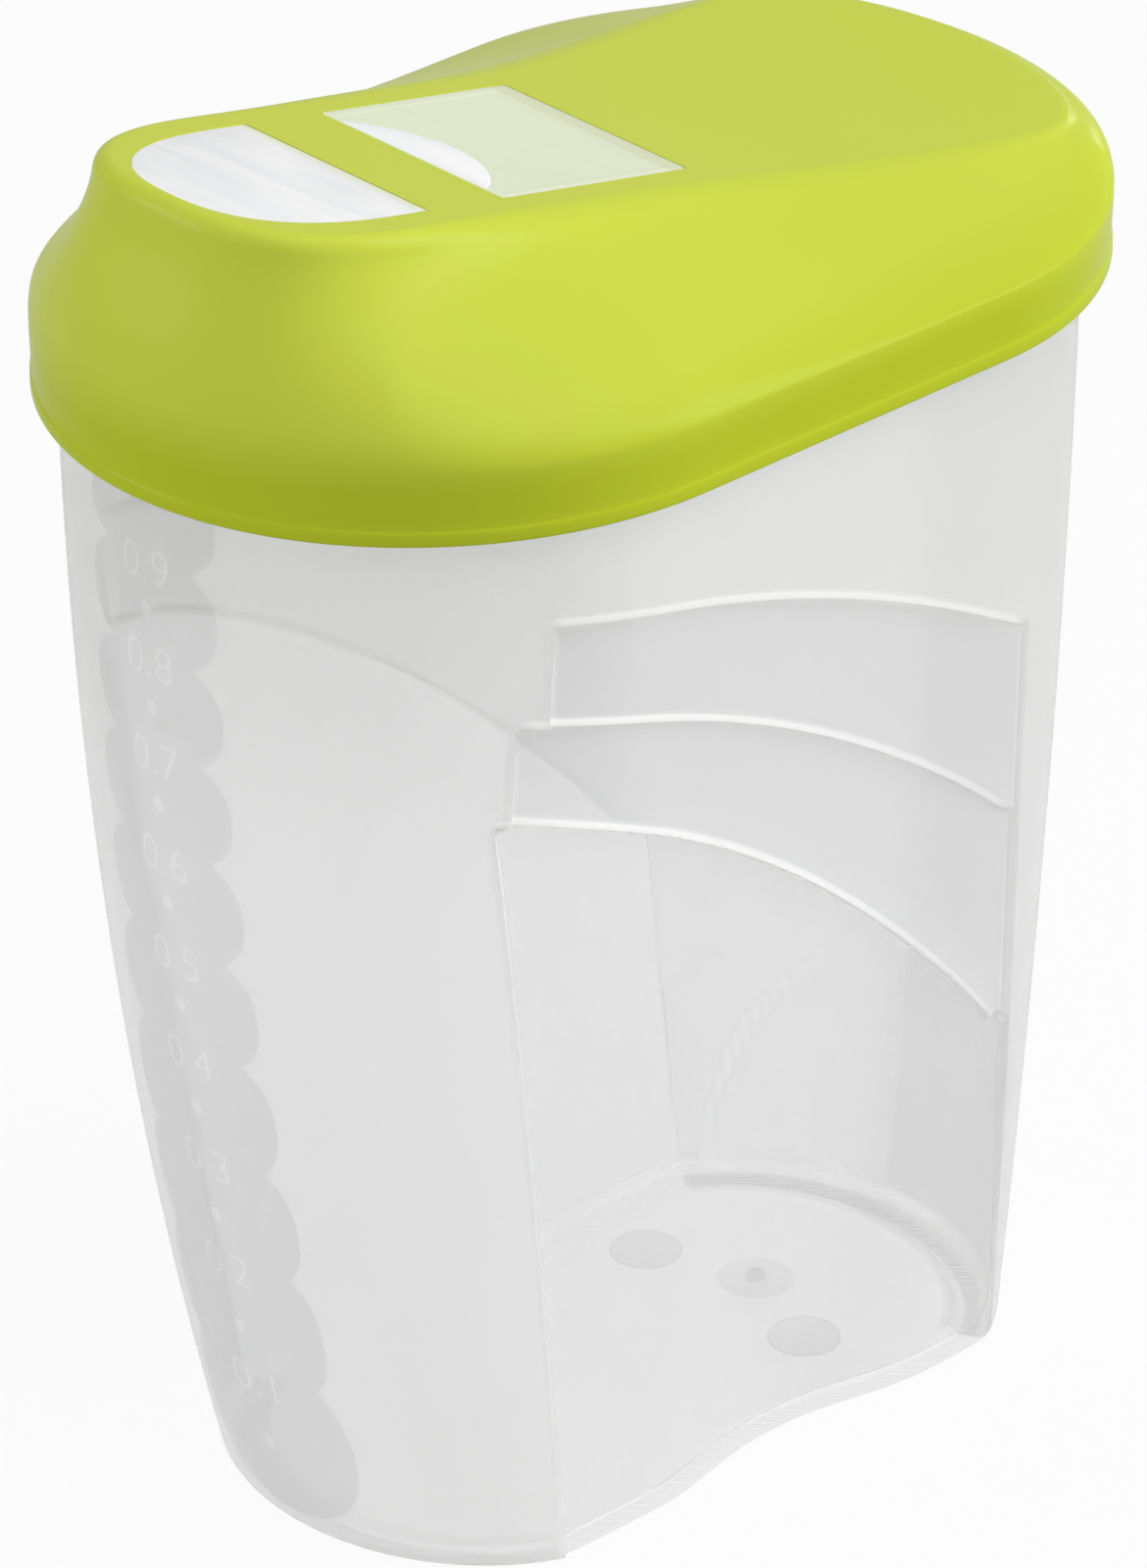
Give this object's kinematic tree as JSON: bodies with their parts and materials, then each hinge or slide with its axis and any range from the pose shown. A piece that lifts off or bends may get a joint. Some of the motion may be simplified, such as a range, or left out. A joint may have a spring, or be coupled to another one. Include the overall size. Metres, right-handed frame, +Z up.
{
  "type": "cereal container with flip spout",
  "caption": "Tapered translucent kitchen canister with a stepped grip, a push-on lime lid whose deck rises to a spout, and a rocking flap that opens it.",
  "frame": {"origin": "centre of the bounding box's bottom face, on the plane the container stands on", "axes": "+Z up, X across the container, Y along it, with the spout at -Y"},
  "size_m": [0.0902, 0.139, 0.1828],
  "materials": {
    "frosted_plastic": "frosted translucent polypropylene with polished scale fields",
    "lime_plastic": "satin gloss polypropylene",
    "milky_plastic": "milky translucent polypropylene"
  },
  "bodies": {
    "container": {"container": "frosted_plastic"},
    "lid": {"lid": "lime_plastic"},
    "flap": {"flap": "milky_plastic"}
  },
  "joints": [
    {"name": "lid_lift", "type": "slide", "parent": "container", "child": "lid", "axis": [0, 0, 1], "range_m": [0, 0.04]},
    {"name": "flap_rock", "type": "hinge", "parent": "lid", "child": "flap", "pos_m": [0, -0.03179, 0.17317], "axis": [-1, 0, 0], "range_deg": [0, 30]}
  ]
}
